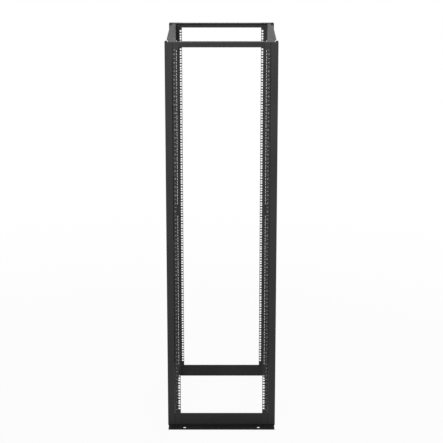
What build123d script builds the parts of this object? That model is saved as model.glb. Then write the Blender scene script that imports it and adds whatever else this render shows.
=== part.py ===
from build123d import *
import os

# Four post open frame rack for 19 inch equipment, 45 rack units high.
# X runs across the front, Y from front to rear and Z up. The origin is on the
# floor, midway between the four posts. Sizes are in millimetres.

# Overall frame, measured over the posts
frame_height = 2133.6
frame_width = 592.0
frame_depth = 762.0

# Formed steel sheet of the posts, rails and top bars
sheet = 2.5
bend_radius = 1.0

# Posts: a face beside the equipment rail, an outer wall and a lip turned in at its back
post_width = 38.1
post_depth = 54.0
post_lip = 12.5

# Equipment rails: angles whose face has the holes and whose leg turns in behind it.
# They stand a gap away from the posts and leave a clear opening of 450 between them
equipment_rail_width = 30.5
equipment_rail_leg = 25.0
rail_to_post_gap = 2.4

# Square holes in the equipment rails, three to a rack unit
hole_inset = 7.55
square_hole = 9.5
unit_height = 44.45
first_hole_height = 6.35
hole_step = 15.875
bottom_margin = 22.3
top_margin = 10.0

# Tie plates: join each equipment rail to its post just below mid-height, behind both faces
tie_plate_height = 67.0
tie_plate_drop = 34.3
tie_plate_lap = 12.8
tie_plate_edge = 10.0

# Top bars: an angle behind the post faces, its flange turned into the frame
top_bar_height = 28.0
top_bar_flange = 31.0

# Base angles: a leg behind the post faces and a flange that reaches outwards
base_sheet = 3.0
base_bend_radius = 1.5
base_height = 70.0
base_reach = 66.0
anchor_hole = 18.0
anchor_spacing = 406.6
anchor_edge = 27.0

# Side rails: channels that open outwards, narrowed where they enter the posts. The top
# pair has tabs turned in at its ends, which lap over the backs of the equipment rails
rail_height = 102.0
rail_width = 31.3
rail_outer_gap = 7.2
rail_nose_gap = 3.5
rail_nose_length = 18.0
rail_taper_length = 55.0
rail_tab_lap = 12.8

# Clearance between pieces that slide past each other when the frame is put together
fit_gap = 0.3

# Places that follow from the sizes above
outer_x = frame_width / 2
post_inner_x = outer_x - post_width
rail_side_x = post_inner_x - rail_to_post_gap
inner_x = rail_side_x - equipment_rail_width
hole_x = inner_x + hole_inset
tie_plate_inner_x = rail_side_x - tie_plate_lap
tie_plate_outer_x = outer_x - tie_plate_edge
tie_plate_middle_z = frame_height / 2 - tie_plate_drop
tie_plate_low_z = tie_plate_middle_z - tie_plate_height / 2
tie_plate_high_z = tie_plate_middle_z + tie_plate_height / 2
front_y = -frame_depth / 2
face_back_y = front_y + sheet
post_back_y = front_y + post_depth
rail_edge_x = outer_x - rail_outer_gap
rail_web_x = rail_edge_x - rail_width
nose_x = outer_x - post_lip - rail_nose_gap
top_rail_z = frame_height - sheet - rail_height
tab_inner_x = rail_side_x - rail_tab_lap
tab_low_z = top_rail_z + sheet + bend_radius
tab_high_z = frame_height - top_bar_height - fit_gap
base_half = outer_x - sheet - bend_radius - fit_gap
base_heel_y = face_back_y + base_sheet
base_toe_y = front_y - base_reach
notch_height = base_sheet + base_bend_radius
first_unit_z = base_height + bottom_margin
last_unit_z = frame_height - top_bar_height - top_margin
unit_count = int((last_unit_z - first_unit_z) / unit_height)
hole_places = [
    (hole_x, first_unit_z + unit * unit_height + first_hole_height + hole * hole_step)
    for unit in range(unit_count)
    for hole in range(3)
]


# Front right post, which the other three mirror
with BuildPart() as front_right_post:
    with BuildSketch(Plane.XY):
        with BuildLine():
            FilletPolyline(
                (post_inner_x, front_y),
                (outer_x, front_y),
                (outer_x, post_back_y),
                (outer_x - post_lip, post_back_y),
                radius=bend_radius + sheet,
            )
            offset(amount=sheet, side=Side.LEFT)
        make_face()
    extrude(amount=frame_height)
    # The face stops above the base angle's flange, and the outer wall reaches the floor
    with BuildSketch(Plane.XZ.offset(-front_y)):
        with Locations((post_inner_x, 0)):
            Rectangle(base_half + fit_gap - post_inner_x, notch_height, align=(Align.MIN, Align.MIN))
    extrude(amount=-(sheet + bend_radius), mode=Mode.SUBTRACT)

with BuildPart() as front_left_post:
    add(mirror(front_right_post.part, about=Plane.YZ, mode=Mode.PRIVATE))

with BuildPart() as rear_right_post:
    add(mirror(front_right_post.part, about=Plane.XZ, mode=Mode.PRIVATE))

with BuildPart() as rear_left_post:
    add(mirror(front_left_post.part, about=Plane.XZ, mode=Mode.PRIVATE))


# Front right equipment rail, standing clear of the post beside it
with BuildPart() as front_right_equipment_rail:
    with BuildSketch(Plane.XY.offset(notch_height)):
        with BuildLine():
            FilletPolyline(
                (inner_x, front_y),
                (rail_side_x, front_y),
                (rail_side_x, front_y + equipment_rail_leg),
                radius=bend_radius + sheet,
            )
            offset(amount=sheet, side=Side.LEFT)
        make_face()
    extrude(amount=frame_height - notch_height)
    # The leg makes room for the base angle, the tie plate and the top side rail's tab
    with BuildSketch(Plane.YZ.offset(inner_x)):
        for low_z, high_z in (
            (0, base_height),
            (tie_plate_low_z, tie_plate_high_z),
            (top_rail_z, frame_height),
        ):
            with Locations((face_back_y, low_z - fit_gap)):
                Rectangle(equipment_rail_leg, high_z - low_z + 2 * fit_gap, align=(Align.MIN, Align.MIN))
    extrude(amount=equipment_rail_width, mode=Mode.SUBTRACT)
    with BuildSketch(Plane.XZ.offset(-front_y)):
        with Locations(*hole_places):
            Rectangle(square_hole, square_hole)
    extrude(amount=-sheet, mode=Mode.SUBTRACT)

with BuildPart() as front_left_equipment_rail:
    add(mirror(front_right_equipment_rail.part, about=Plane.YZ, mode=Mode.PRIVATE))

with BuildPart() as rear_right_equipment_rail:
    add(mirror(front_right_equipment_rail.part, about=Plane.XZ, mode=Mode.PRIVATE))

with BuildPart() as rear_left_equipment_rail:
    add(mirror(front_left_equipment_rail.part, about=Plane.XZ, mode=Mode.PRIVATE))


# Front right tie plate
with BuildPart() as front_right_tie_plate:
    with BuildSketch(Plane.XZ.offset(-face_back_y)):
        with Locations(((tie_plate_inner_x + tie_plate_outer_x) / 2, tie_plate_middle_z)):
            Rectangle(tie_plate_outer_x - tie_plate_inner_x, tie_plate_height)
    extrude(amount=-sheet)

with BuildPart() as front_left_tie_plate:
    add(mirror(front_right_tie_plate.part, about=Plane.YZ, mode=Mode.PRIVATE))

with BuildPart() as rear_right_tie_plate:
    add(mirror(front_right_tie_plate.part, about=Plane.XZ, mode=Mode.PRIVATE))

with BuildPart() as rear_left_tie_plate:
    add(mirror(front_left_tie_plate.part, about=Plane.XZ, mode=Mode.PRIVATE))


# Front top bar: its leg fits between the side rails, its flange lies on them
with BuildPart() as front_top_bar:
    with BuildSketch(Plane.YZ):
        with BuildLine():
            FilletPolyline(
                (face_back_y, frame_height - top_bar_height),
                (face_back_y, frame_height),
                (face_back_y + top_bar_flange, frame_height),
                radius=bend_radius + sheet,
            )
            offset(amount=sheet, side=Side.RIGHT)
        make_face()
    extrude(amount=nose_x, both=True)
    with BuildSketch(Plane.XZ.offset(-face_back_y)):
        for side in (-1, 1):
            with Locations((side * (rail_web_x - fit_gap + nose_x) / 2, frame_height - sheet)):
                Rectangle(nose_x - rail_web_x + fit_gap, top_bar_height, align=(Align.CENTER, Align.MAX))
    extrude(amount=-(sheet + bend_radius), mode=Mode.SUBTRACT)

with BuildPart() as rear_top_bar:
    add(mirror(front_top_bar.part, about=Plane.XZ, mode=Mode.PRIVATE))


# Front base angle, with an anchor hole near each end of its flange
with BuildPart() as front_base_angle:
    with BuildSketch(Plane.YZ):
        with BuildLine():
            FilletPolyline(
                (base_heel_y, base_height),
                (base_heel_y, 0),
                (base_toe_y, 0),
                radius=base_bend_radius + base_sheet,
            )
            offset(amount=base_sheet, side=Side.RIGHT)
        make_face()
    extrude(amount=base_half, both=True)
    with BuildSketch(Plane.XY):
        with Locations((0, base_toe_y + anchor_edge)):
            with GridLocations(anchor_spacing, 0, 2, 1):
                Circle(anchor_hole / 2)
    extrude(amount=base_sheet, mode=Mode.SUBTRACT)

with BuildPart() as rear_base_angle:
    add(mirror(front_base_angle.part, about=Plane.XZ, mode=Mode.PRIVATE))


# Right-hand channel rail between a front and a rear post
def side_rail(bottom_z, half_length):
    nose_y = -post_back_y - rail_nose_length
    taper_y = nose_y - rail_taper_length
    with BuildPart() as rail:
        with BuildSketch(Plane.XZ):
            with BuildLine():
                FilletPolyline(
                    (rail_edge_x, bottom_z + rail_height),
                    (rail_web_x, bottom_z + rail_height),
                    (rail_web_x, bottom_z),
                    (rail_edge_x, bottom_z),
                    radius=bend_radius + sheet,
                )
                offset(amount=sheet, side=Side.LEFT)
            make_face()
        extrude(amount=half_length, both=True)
        # Both flanges taper to a narrower nose that passes the post's lip
        with BuildSketch(Plane.XY.offset(bottom_z)):
            for end in (-1, 1):
                with BuildLine():
                    Polyline(
                        (rail_edge_x, end * taper_y),
                        (nose_x, end * nose_y),
                        (nose_x, end * half_length),
                        (rail_edge_x, end * half_length),
                        close=True,
                    )
                make_face()
        extrude(amount=rail_height, mode=Mode.SUBTRACT)
    return rail.part


# Side rails: the top pair under the top bars, the bottom pair on the floor
with BuildPart() as right_top_side_rail:
    add(side_rail(top_rail_z, -face_back_y))
    # The tabs lie against the backs of the faces, just under the top bars
    for end in (-1, 1):
        with BuildSketch(Plane.XZ.offset(end * face_back_y)):
            with Locations((tab_inner_x, tab_low_z)):
                Rectangle(
                    rail_web_x + sheet - tab_inner_x,
                    tab_high_z - tab_low_z,
                    align=(Align.MIN, Align.MIN),
                )
        extrude(amount=end * sheet)

with BuildPart() as left_top_side_rail:
    add(mirror(right_top_side_rail.part, about=Plane.YZ, mode=Mode.PRIVATE))

with BuildPart() as right_bottom_side_rail:
    add(side_rail(0, -base_heel_y))

with BuildPart() as left_bottom_side_rail:
    add(mirror(right_bottom_side_rail.part, about=Plane.YZ, mode=Mode.PRIVATE))


pieces = {
    "front_left_post": front_left_post,
    "front_right_post": front_right_post,
    "rear_left_post": rear_left_post,
    "rear_right_post": rear_right_post,
    "front_left_equipment_rail": front_left_equipment_rail,
    "front_right_equipment_rail": front_right_equipment_rail,
    "rear_left_equipment_rail": rear_left_equipment_rail,
    "rear_right_equipment_rail": rear_right_equipment_rail,
    "front_left_tie_plate": front_left_tie_plate,
    "front_right_tie_plate": front_right_tie_plate,
    "rear_left_tie_plate": rear_left_tie_plate,
    "rear_right_tie_plate": rear_right_tie_plate,
    "front_top_bar": front_top_bar,
    "rear_top_bar": rear_top_bar,
    "front_base_angle": front_base_angle,
    "rear_base_angle": rear_base_angle,
    "left_top_side_rail": left_top_side_rail,
    "right_top_side_rail": right_top_side_rail,
    "left_bottom_side_rail": left_bottom_side_rail,
    "right_bottom_side_rail": right_bottom_side_rail,
}

os.makedirs("parts", exist_ok=True)
for name, piece in pieces.items():
    piece.part.label = name
    export_step(piece.part, f"parts/{name}.step")
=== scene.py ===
import bpy
import math
from mathutils import Matrix, Vector


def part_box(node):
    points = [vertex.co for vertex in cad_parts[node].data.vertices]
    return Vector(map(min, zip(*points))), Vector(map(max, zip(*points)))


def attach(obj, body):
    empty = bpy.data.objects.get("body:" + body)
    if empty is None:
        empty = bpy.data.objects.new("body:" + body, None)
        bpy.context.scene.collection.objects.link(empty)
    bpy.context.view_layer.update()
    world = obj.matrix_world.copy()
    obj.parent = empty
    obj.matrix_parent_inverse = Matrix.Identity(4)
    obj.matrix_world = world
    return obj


# A four post open frame rack: the steel comes from the CAD frame, and this script gives it
# its coat, its printed unit numbers, its weld beads and a white studio.

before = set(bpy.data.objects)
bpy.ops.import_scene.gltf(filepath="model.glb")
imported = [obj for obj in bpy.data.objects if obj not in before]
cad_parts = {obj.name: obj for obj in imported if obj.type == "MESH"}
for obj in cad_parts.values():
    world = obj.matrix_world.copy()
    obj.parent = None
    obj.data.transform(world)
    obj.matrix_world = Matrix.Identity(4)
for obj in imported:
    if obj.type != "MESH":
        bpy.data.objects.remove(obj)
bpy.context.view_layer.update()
print("rack frame loaded,", len(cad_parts), "pieces of steel")


def clearSelection():
    bpy.ops.object.select_all(action="DESELECT")


def pickOnly(piece):
    clearSelection()
    piece.select_set(True)
    bpy.context.view_layer.objects.active = piece


def settleMesh(piece):
    # the piece's place goes into its mesh, so that its object stays at the origin
    pickOnly(piece)
    bpy.ops.object.transform_apply(location=True, rotation=True, scale=True)


def applyModifier(piece, kind, **values):
    pickOnly(piece)
    modifier = piece.modifiers.new(kind.lower(), kind)
    for name, value in values.items():
        setattr(modifier, name, value)
    bpy.ops.object.modifier_apply(modifier=modifier.name)


def joinPieces(parts, name):
    pickOnly(parts[0])
    for part in parts:
        part.select_set(True)
    bpy.ops.object.join()
    joined = bpy.context.view_layer.objects.active
    joined.name = name
    joined.data.name = name
    return joined


def copyMoved(source, matrix):
    # a copy with its own mesh, moved inside the mesh
    twin = source.copy()
    twin.data = source.data.copy()
    bpy.context.scene.collection.objects.link(twin)
    twin.data.transform(matrix)
    if matrix.determinant() < 0:
        twin.data.flip_normals()
    return twin


def finishPiece(piece, material):
    # paints a new piece and fixes it to the frame
    piece.data.materials.clear()
    piece.data.materials.append(material)
    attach(piece, "root")


# Camera: fitted to the edges of the rack in the photograph
cameraSettings = {
    "distance": 7.7375,      # from the front faces of the posts
    "height": 3.2659,
    "tiltDown": 15.151,      # degrees
    "focalPixels": 1498.67,  # for a picture 443 pixels wide
    "pictureWidth": 443,
    "filmWidth": 36,
    "seesTo": 200,
}

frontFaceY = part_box("front_left_post")[0].y
bpy.ops.object.camera_add(
    location=(0, frontFaceY - cameraSettings["distance"], cameraSettings["height"]),
    rotation=(math.radians(90 - cameraSettings["tiltDown"]), 0, 0))
camera = bpy.context.object
camera.name = "photoCamera"
camera.data.sensor_width = cameraSettings["filmWidth"]
filmPerPixel = cameraSettings["filmWidth"] / cameraSettings["pictureWidth"]
camera.data.lens = cameraSettings["focalPixels"] * filmPerPixel
camera.data.clip_end = cameraSettings["seesTo"]
bpy.context.scene.camera = camera
bpy.context.scene.view_settings.view_transform = "Standard"
print("camera set")


# White studio: a white sky and floor for the camera, softer ones for the light on the steel
studioSettings = {
    "skyForDiffuse": 0.13,    # what lights the steel
    "skySeen": 1.0,           # what the camera and reflections see
    "floorSize": 90,
    "floorWhite": 0.27,
    "floorGlowNear": 0.955,   # share of plain white that the camera sees beside the rack
    "floorGlowFar": 1.0,      # and where the glow is full
    "glowFrom": 0.8,          # metres from the rack's middle
    "glowReach": 5.0,
    "glowStrength": 1.0,      # plain white
}
# "shows" says whether the gloss of the steel mirrors the lamp
lampSettings = {
    "frontLamp": {"place": (-1.0, -5.4, 3.9), "aim": (0, 0, 2.3), "size": (2.2, 1.5), "power": 322,
                  "shows": True},
    "rightLamp": {"place": (4.4, 0.4, 2.8), "aim": (0, 0, 1.1), "size": (2.0, 2.4), "power": 120,
                  "shows": True},
    "leftLamp": {"place": (-4.4, 0.4, 2.8), "aim": (0, 0, 1.1), "size": (2.0, 2.4), "power": 90,
                 "shows": True},
    "rearLamp": {"place": (1.5, 4.6, 3.2), "aim": (0, 0, 1.1), "size": (2.4, 2.0), "power": 200,
                 "shows": False},
    "topLamp": {"place": (0, 1.0, 5.0), "aim": (0, 0, 0), "size": (3.5, 3.5), "power": 50,
                "shows": True},
}


def seenDirectly(nodes, links, rayKinds):
    # 1 for any of these kinds of ray, and 0 for the rays that carry light to the steel
    path = nodes.new("ShaderNodeLightPath")
    result = path.outputs[rayKinds[0]]
    for kind in rayKinds[1:]:
        either = nodes.new("ShaderNodeMath")
        either.operation = "MAXIMUM"
        links.new(result, either.inputs[0])
        links.new(path.outputs[kind], either.inputs[1])
        result = either.outputs[0]
    return result


def skyShader(nodes, strength):
    sky = nodes.new("ShaderNodeBackground")
    sky.inputs["Color"].default_value = (1, 1, 1, 1)
    sky.inputs["Strength"].default_value = strength
    return sky


def paintSky():
    world = bpy.data.worlds.new("whiteStudio")
    bpy.context.scene.world = world
    world.use_nodes = True
    nodes, links = world.node_tree.nodes, world.node_tree.links
    nodes.clear()
    skyMix = nodes.new("ShaderNodeMixShader")
    seen = seenDirectly(nodes, links, ("Is Camera Ray", "Is Glossy Ray", "Is Transmission Ray"))
    links.new(seen, skyMix.inputs["Fac"])
    links.new(skyShader(nodes, studioSettings["skyForDiffuse"]).outputs[0], skyMix.inputs[1])
    links.new(skyShader(nodes, studioSettings["skySeen"]).outputs[0], skyMix.inputs[2])
    worldOut = nodes.new("ShaderNodeOutputWorld")
    links.new(skyMix.outputs[0], worldOut.inputs["Surface"])


def paintFloor(floor):
    paint = bpy.data.materials.new("whiteFloor")
    paint.use_nodes = True
    nodes, links = paint.node_tree.nodes, paint.node_tree.links
    nodes.clear()
    # the glow grows with the distance from the rack, which keeps its shadow beside it
    place = nodes.new("ShaderNodeTexCoord")
    fromRack = nodes.new("ShaderNodeVectorMath")
    fromRack.operation = "LENGTH"
    links.new(place.outputs["Object"], fromRack.inputs[0])
    glowShare = nodes.new("ShaderNodeMapRange")
    glowShare.interpolation_type = "SMOOTHSTEP"
    glowShare.inputs["From Min"].default_value = studioSettings["glowFrom"]
    glowShare.inputs["From Max"].default_value = studioSettings["glowReach"]
    glowShare.inputs["To Min"].default_value = studioSettings["floorGlowNear"]
    glowShare.inputs["To Max"].default_value = studioSettings["floorGlowFar"]
    links.new(fromRack.outputs["Value"], glowShare.inputs["Value"])
    share = nodes.new("ShaderNodeMath")
    share.operation = "MULTIPLY"
    seen = seenDirectly(nodes, links, ("Is Camera Ray", "Is Glossy Ray", "Is Transmission Ray"))
    links.new(seen, share.inputs[0])
    links.new(glowShare.outputs["Result"], share.inputs[1])
    matt = nodes.new("ShaderNodeBsdfDiffuse")
    matt.inputs["Color"].default_value = (studioSettings["floorWhite"],) * 3 + (1,)
    glow = nodes.new("ShaderNodeEmission")
    glow.inputs["Color"].default_value = (1, 1, 1, 1)
    glow.inputs["Strength"].default_value = studioSettings["glowStrength"]
    floorMix = nodes.new("ShaderNodeMixShader")
    links.new(share.outputs[0], floorMix.inputs["Fac"])
    links.new(matt.outputs[0], floorMix.inputs[1])
    links.new(glow.outputs[0], floorMix.inputs[2])
    floorOut = nodes.new("ShaderNodeOutputMaterial")
    links.new(floorMix.outputs[0], floorOut.inputs["Surface"])
    floor.data.materials.append(paint)


def hangLamp(name, lamp):
    bpy.ops.object.light_add(type="AREA", location=lamp["place"])
    lampObject = bpy.context.object
    lampObject.name = name
    lampObject.data.shape = "RECTANGLE"
    lampObject.data.size, lampObject.data.size_y = lamp["size"]
    lampObject.data.energy = lamp["power"]
    lampObject.visible_glossy = lamp["shows"]
    toTarget = Vector(lamp["aim"]) - Vector(lamp["place"])
    lampObject.rotation_euler = toTarget.to_track_quat("-Z", "Y").to_euler()


paintSky()
clearSelection()
bpy.ops.mesh.primitive_plane_add(size=studioSettings["floorSize"], location=(0, 0, 0))
floor = bpy.context.object
floor.name = "studioFloor"
paintFloor(floor)
for lampName, lamp in lampSettings.items():
    hangLamp(lampName, lamp)
print("studio set")


# Black powder coat: each kind of piece was coated in its own batch
coatSettings = {
    "postCoat": {"dark": 0.027, "light": 0.033, "shift": 0.0, "rubScale": 34, "rubFrom": 0.63,
                 "rubAmount": 0.30, "rough": 0.46, "grain": 0.55, "shine": 0.12},
    "equipmentRailCoat": {"dark": 0.027, "light": 0.032, "shift": 3.1, "rubScale": 60, "rubFrom": 0.62,
                          "rubAmount": 0.34, "rough": 0.44, "grain": 0.50, "shine": 0.12},
    "crossBarCoat": {"dark": 0.022, "light": 0.028, "shift": 7.4, "rubScale": 40, "rubFrom": 0.63,
                     "rubAmount": 0.30, "rough": 0.46, "grain": 0.55, "shine": 0.12},
    "baseCoat": {"dark": 0.024, "light": 0.029, "shift": 11.7, "rubScale": 28, "rubFrom": 0.60,
                 # the base's last value is painted shade: the share of its colour kept on the flanges on
                 # the floor
                 "rubAmount": 0.30, "rough": 0.50, "grain": 0.60, "shine": 0.12, "flangeShade": 0.28},
    "weldCoat": {"dark": 0.018, "light": 0.024, "shift": 15.2, "rubScale": 90, "rubFrom": 0.62,
                 "rubAmount": 0.30, "rough": 0.42, "grain": 0.40, "shine": 0.34},
}
skinSettings = {
    "shiftWays": (1, 0.7, 1.9),  # how each coat's pattern is moved along X, Y and Z
    "cloudScale": 3.2,           # broad unevenness of the black
    "cloudDetail": 5,
    "cloudFrom": 0.32,
    "cloudTo": 0.70,
    "blueInDark": 1.03,          # the black leans slightly to blue
    "blueInLight": 1.02,
    "rubDetail": 9,
    "rubRoughness": 0.72,
    "rubSoftness": 0.09,
    "rubbedTone": (0.085, 0.085, 0.088, 1),
    "sheenScale": 26,            # patches that are a little more or less matt
    "sheenDetail": 4,
    "sheenFrom": 0.3,
    "sheenTo": 0.7,
    "sheenSpread": (-0.05, 0.06),
    "rippleScale": 230,          # ripples of the sprayed powder
    "rippleDetail": 2,
    "grainScale": 950,           # finer grain on them
    "grainDetail": 3,
    "grainShare": 0.4,
    "skinDepth": 0.0006,
    "flangeShadeFrom": 0.004,          # heights over the floor, just above the base flanges, where their painted shade fades out
    "flangeShadeTo": 0.009,
}


def noiseOn(nodes, links, place, scale, detail, roughness=0.5):
    noise = nodes.new("ShaderNodeTexNoise")
    noise.inputs["Scale"].default_value = scale
    noise.inputs["Detail"].default_value = detail
    noise.inputs["Roughness"].default_value = roughness
    links.new(place, noise.inputs["Vector"])
    return noise.outputs["Fac"]


def rangeOf(nodes, links, value, fromLow, fromHigh, toLow, toHigh):
    spread = nodes.new("ShaderNodeMapRange")
    spread.inputs["From Min"].default_value = fromLow
    spread.inputs["From Max"].default_value = fromHigh
    spread.inputs["To Min"].default_value = toLow
    spread.inputs["To Max"].default_value = toHigh
    links.new(value, spread.inputs["Value"])
    return spread.outputs["Result"]


def toneOf(nodes, links, value, darkAt, darkTone, lightAt, lightTone):
    ramp = nodes.new("ShaderNodeValToRGB")
    ramp.color_ramp.elements[0].position = darkAt
    ramp.color_ramp.elements[0].color = darkTone
    ramp.color_ramp.elements[1].position = lightAt
    ramp.color_ramp.elements[1].color = lightTone
    links.new(value, ramp.inputs["Fac"])
    return ramp.outputs["Color"]


def powderCoat(name, look):
    # fine black powder coat: grainy skin, slightly uneven sheen, pale rubbed spots
    coat = bpy.data.materials.new(name)
    coat.use_nodes = True
    nodes, links = coat.node_tree.nodes, coat.node_tree.links
    shader = nodes["Principled BSDF"]
    skin = skinSettings
    place = nodes.new("ShaderNodeTexCoord")
    moved = nodes.new("ShaderNodeMapping")
    moved.inputs["Location"].default_value = [look["shift"] * way for way in skin["shiftWays"]]
    links.new(place.outputs["Object"], moved.inputs["Vector"])
    spot = moved.outputs["Vector"]

    dark, light = look["dark"], look["light"]
    darkTone = (dark, dark, dark * skin["blueInDark"], 1)
    lightTone = (light, light, light * skin["blueInLight"], 1)
    cloud = noiseOn(nodes, links, spot, skin["cloudScale"], skin["cloudDetail"])
    tone = toneOf(nodes, links, cloud, skin["cloudFrom"], darkTone, skin["cloudTo"], lightTone)
    rub = noiseOn(nodes, links, spot, look["rubScale"], skin["rubDetail"], skin["rubRoughness"])
    rubTo = look["rubFrom"] + skin["rubSoftness"]
    rubShare = rangeOf(nodes, links, rub, look["rubFrom"], rubTo, 0, look["rubAmount"])
    rubMix = nodes.new("ShaderNodeMix")
    rubMix.data_type = "RGBA"                  # its two colours are sockets 6 and 7
    rubMix.inputs[7].default_value = skin["rubbedTone"]
    links.new(rubShare, rubMix.inputs[0])
    links.new(tone, rubMix.inputs[6])
    colour = rubMix.outputs[2]
    if "flangeShade" in look:
        # painted shade: the flanges on the floor are given a darker colour than what stands on them
        axes = nodes.new("ShaderNodeSeparateXYZ")
        links.new(place.outputs["Object"], axes.inputs[0])
        overFloor = axes.outputs["Z"]
        unshadedShare = rangeOf(nodes, links, overFloor, skin["flangeShadeFrom"], skin["flangeShadeTo"], look["flangeShade"], 1)
        dimmer = nodes.new("ShaderNodeVectorMath")
        dimmer.operation = "SCALE"
        links.new(colour, dimmer.inputs[0])
        links.new(unshadedShare, dimmer.inputs["Scale"])
        colour = dimmer.outputs["Vector"]
    links.new(colour, shader.inputs["Base Color"])

    sheen = noiseOn(nodes, links, spot, skin["sheenScale"], skin["sheenDetail"])
    glossy, matt = (look["rough"] + change for change in skin["sheenSpread"])
    roughness = rangeOf(nodes, links, sheen, skin["sheenFrom"], skin["sheenTo"], glossy, matt)
    links.new(roughness, shader.inputs["Roughness"])
    grain = noiseOn(nodes, links, spot, skin["grainScale"], skin["grainDetail"])
    ripples = noiseOn(nodes, links, spot, skin["rippleScale"], skin["rippleDetail"])
    skinHeight = nodes.new("ShaderNodeMath")
    skinHeight.operation = "MULTIPLY_ADD"      # grain times its share, plus the ripples
    skinHeight.inputs[1].default_value = skin["grainShare"]
    links.new(grain, skinHeight.inputs[0])
    links.new(ripples, skinHeight.inputs[2])
    bump = nodes.new("ShaderNodeBump")
    bump.inputs["Strength"].default_value = look["grain"]
    bump.inputs["Distance"].default_value = skin["skinDepth"]
    links.new(skinHeight.outputs[0], bump.inputs["Height"])
    links.new(bump.outputs["Normal"], shader.inputs["Normal"])
    shader.inputs["Specular IOR Level"].default_value = look["shine"]
    return coat


def coatFor(nodeName):
    if "equipment_rail" in nodeName or "tie_plate" in nodeName:
        return coats["equipmentRailCoat"]
    if "base_angle" in nodeName or "bottom_side_rail" in nodeName:
        return coats["baseCoat"]
    if "post" in nodeName:
        return coats["postCoat"]
    return coats["crossBarCoat"]


coats = {name: powderCoat(name, look) for name, look in coatSettings.items()}
for nodeName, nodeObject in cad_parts.items():
    nodeObject.data.materials.clear()
    nodeObject.data.materials.append(coatFor(nodeName))
print("steel painted")


# Unit numbers and unit lines, printed on the outward faces of the equipment rails
markSettings = {
    "firstUnitZ": 0.0923,     # lower edge of unit 1
    "unitHeight": 0.04445,
    "unitCount": 45,
    "columnX": 0.2455,        # middle of the printed column
    "digitSize": 0.0105,
    "digitNarrow": 0.86,
    "digitTall": 1.08,
    "strokeSpread": 0.00018,
    "lineWidth": 0.0100,
    "lineHeight": 0.0017,
    "lineRounding": 0.00004,
    "inkThickness": 0.00012,
    "curveSteps": 3,          # pieces in each curve of a digit
    "ink": (0.27, 0.27, 0.265),
    "thinInk": 0.82,          # share of that tone where the ink is thin
    "inkRough": 0.55,
    "speckScale": 700,
    "speckDetail": 4,
    "speckFrom": 0.25,
    "speckTo": 0.55,
}


def printedInk():
    ink = bpy.data.materials.new("printedInk")
    ink.use_nodes = True
    nodes, links = ink.node_tree.nodes, ink.node_tree.links
    shader = nodes["Principled BSDF"]
    place = nodes.new("ShaderNodeTexCoord")
    speck = noiseOn(nodes, links, place.outputs["Object"],
                    markSettings["speckScale"], markSettings["speckDetail"])
    full = markSettings["ink"] + (1,)
    thin = tuple(markSettings["thinInk"] * part for part in markSettings["ink"]) + (1,)
    tone = toneOf(nodes, links, speck, markSettings["speckFrom"], thin, markSettings["speckTo"], full)
    links.new(tone, shader.inputs["Base Color"])
    shader.inputs["Roughness"].default_value = markSettings["inkRough"]
    return ink


def unitNumber(unit):
    # a number that stands upright, facing the front, over the middle of its unit
    clearSelection()
    bpy.ops.object.text_add(location=(0, 0, 0))
    number = bpy.context.object
    number.data.body = str(unit)
    number.data.size = markSettings["digitSize"]
    number.data.align_x = "CENTER"
    number.data.align_y = "CENTER"
    number.data.resolution_u = markSettings["curveSteps"]
    number.data.offset = markSettings["strokeSpread"]
    number.data.extrude = markSettings["inkThickness"] / 2
    bpy.ops.object.convert(target="MESH")
    number = bpy.context.object
    number.scale = (markSettings["digitNarrow"], markSettings["digitTall"], 1)
    number.rotation_euler = (math.radians(90), 0, 0)
    number.location = (0, 0, markSettings["firstUnitZ"] + (unit - 0.5) * markSettings["unitHeight"])
    settleMesh(number)
    return number


def unitLine():
    # one short line, its edges rounded as ink dries
    clearSelection()
    bpy.ops.mesh.primitive_cube_add(size=1, location=(0, 0, 0))
    line = bpy.context.object
    line.scale = (markSettings["lineWidth"], markSettings["inkThickness"], markSettings["lineHeight"])
    settleMesh(line)
    applyModifier(line, "BEVEL", width=markSettings["lineRounding"], segments=1)
    return line


marks = [unitNumber(unit) for unit in range(1, markSettings["unitCount"] + 1)]
firstLine = unitLine()
for edge in range(markSettings["unitCount"] + 1):
    lineZ = markSettings["firstUnitZ"] + edge * markSettings["unitHeight"]
    marks.append(copyMoved(firstLine, Matrix.Translation((0, 0, lineZ))))
bpy.data.objects.remove(firstLine)
columnOfMarks = joinPieces(marks, "unitMarksFrontRight")

halfInk = markSettings["inkThickness"] / 2
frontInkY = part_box("front_right_equipment_rail")[0].y - halfInk
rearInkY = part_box("rear_right_equipment_rail")[1].y + halfInk
columnX = markSettings["columnX"]
halfTurn = Matrix.Rotation(math.pi, 4, "Z")   # the rear marks are read from behind
markPlaces = {
    "unitMarksFrontLeft": Matrix.Translation((-columnX, frontInkY, 0)),
    "unitMarksRearRight": Matrix.Translation((columnX, rearInkY, 0)) @ halfTurn,
    "unitMarksRearLeft": Matrix.Translation((-columnX, rearInkY, 0)) @ halfTurn,
}
ink = printedInk()
for markName, markPlace in markPlaces.items():
    twin = copyMoved(columnOfMarks, markPlace)
    twin.name = markName
    finishPiece(twin, ink)
columnOfMarks.data.transform(Matrix.Translation((columnX, frontInkY, 0)))
finishPiece(columnOfMarks, ink)
print("unit numbers printed")


# Weld beads where the pieces meet, laid at the front right corner and mirrored to the others
weldSettings = {
    "rippleStep": 0.0030,
    "rippleLength": 0.0030,
    "beadRadius": 0.0021,
    "ballSides": 8,
    "ballRings": 6,
    "lean": 0.45,              # how far each ripple narrows to its tail
    "endGap": 0.0030,          # steel left bare at the end of an edge
    "plateGap": 0.012,
    "bendReach": 0.0045,       # from a side rail's web to where its flange is flat
    "railBeadLength": 0.020,   # across an equipment rail
}


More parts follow.
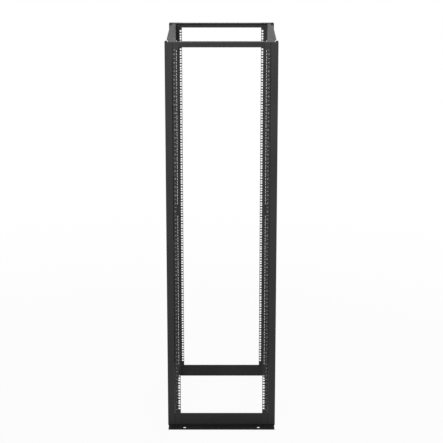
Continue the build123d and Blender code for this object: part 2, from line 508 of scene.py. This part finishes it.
def weldRipple():
    # one ripple: a flattened ball with few faces, narrowed towards its tail
    clearSelection()
    bpy.ops.mesh.primitive_uv_sphere_add(
        segments=weldSettings["ballSides"], ring_count=weldSettings["ballRings"],
        radius=1, location=(0, 0, 0))
    ripple = bpy.context.object
    ripple.rotation_euler = (0, math.radians(90), 0)
    settleMesh(ripple)
    ripple.scale = (weldSettings["rippleLength"], weldSettings["beadRadius"], weldSettings["beadRadius"])
    settleMesh(ripple)
    applyModifier(ripple, "SIMPLE_DEFORM", deform_method="TAPER", deform_axis="X",
                  factor=weldSettings["lean"])
    pickOnly(ripple)
    bpy.ops.object.shade_smooth()
    return ripple


def layBead(ripple, start, end):
    start, end = Vector(start), Vector(end)
    along = (end - start).normalized()
    turn = Vector((1, 0, 0)).rotation_difference(along).to_matrix().to_4x4()
    steps = int((end - start).length / weldSettings["rippleStep"])
    places = [start + along * step * weldSettings["rippleStep"] for step in range(steps + 1)]
    return [copyMoved(ripple, Matrix.Translation(place) @ turn) for place in places]


def cornerBeadLines():
    # from and to of each bead: low and high are a piece's lowest and highest corners
    barLow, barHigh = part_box("front_top_bar")
    railLow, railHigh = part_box("right_top_side_rail")
    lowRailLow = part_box("right_bottom_side_rail")[0]
    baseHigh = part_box("front_base_angle")[1]
    plateLow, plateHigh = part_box("front_right_tie_plate")
    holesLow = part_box("front_right_equipment_rail")[0]
    sheetBack = plateLow.y                      # backs of the posts' and rails' faces
    plateBack = plateHigh.y
    webX = lowRailLow.x                         # inner sides of the side rails
    tabX = railLow.x                            # inner edge of the top rail's tab
    noseX = barHigh.x
    gap = weldSettings["endGap"]
    plateGap = weldSettings["plateGap"]
    bendEnd = webX + weldSettings["bendReach"]
    railFrom = holesLow.x + gap
    railTo = railFrom + weldSettings["railBeadLength"]
    return [
        # top bar's flange on the side rail, then its leg beside the rail's web
        ((bendEnd, barHigh.y, railHigh.z), (noseX - gap, barHigh.y, railHigh.z)),
        ((webX, plateBack, barLow.z + gap), (webX, plateBack, barHigh.z - 2 * gap)),
        # top bar and the rail's tab on the equipment rail, and the rail's lower flange on the post
        ((railFrom, sheetBack, barLow.z), (tabX - 2 * gap, sheetBack, barLow.z)),
        ((tabX, sheetBack, railLow.z + 2 * gap), (tabX, sheetBack, barLow.z - 2 * gap)),
        ((bendEnd, sheetBack, railLow.z), (noseX - gap, sheetBack, railLow.z)),
        # both edges of the tie plate
        ((plateLow.x, sheetBack, plateLow.z + plateGap), (plateLow.x, sheetBack, plateHigh.z - plateGap)),
        ((plateHigh.x, sheetBack, plateLow.z + plateGap), (plateHigh.x, sheetBack, plateHigh.z - plateGap)),
        # base angle on the equipment rail, and the bottom side rail on the base angle
        ((railFrom, sheetBack, baseHigh.z), (railTo, sheetBack, baseHigh.z)),
        ((webX, baseHigh.y, 3 * gap), (webX, baseHigh.y, baseHigh.z - 2 * gap)),
        ((bendEnd, baseHigh.y, gap), (noseX - gap, baseHigh.y, gap)),
    ]


ripple = weldRipple()
cornerRipples = []
for start, end in cornerBeadLines():
    cornerRipples += layBead(ripple, start, end)
bpy.data.objects.remove(ripple)
cornerBeads = joinPieces(cornerRipples, "weldBeadsFrontRight")
mirrors = {
    "weldBeadsFrontLeft": (-1, 1, 1),
    "weldBeadsRearRight": (1, -1, 1),
    "weldBeadsRearLeft": (-1, -1, 1),
}
for beadName, mirror in mirrors.items():
    twin = copyMoved(cornerBeads, Matrix.Diagonal(Vector(mirror).to_4d()))
    twin.name = beadName
    finishPiece(twin, coats["weldCoat"])
finishPiece(cornerBeads, coats["weldCoat"])
print("weld beads laid")
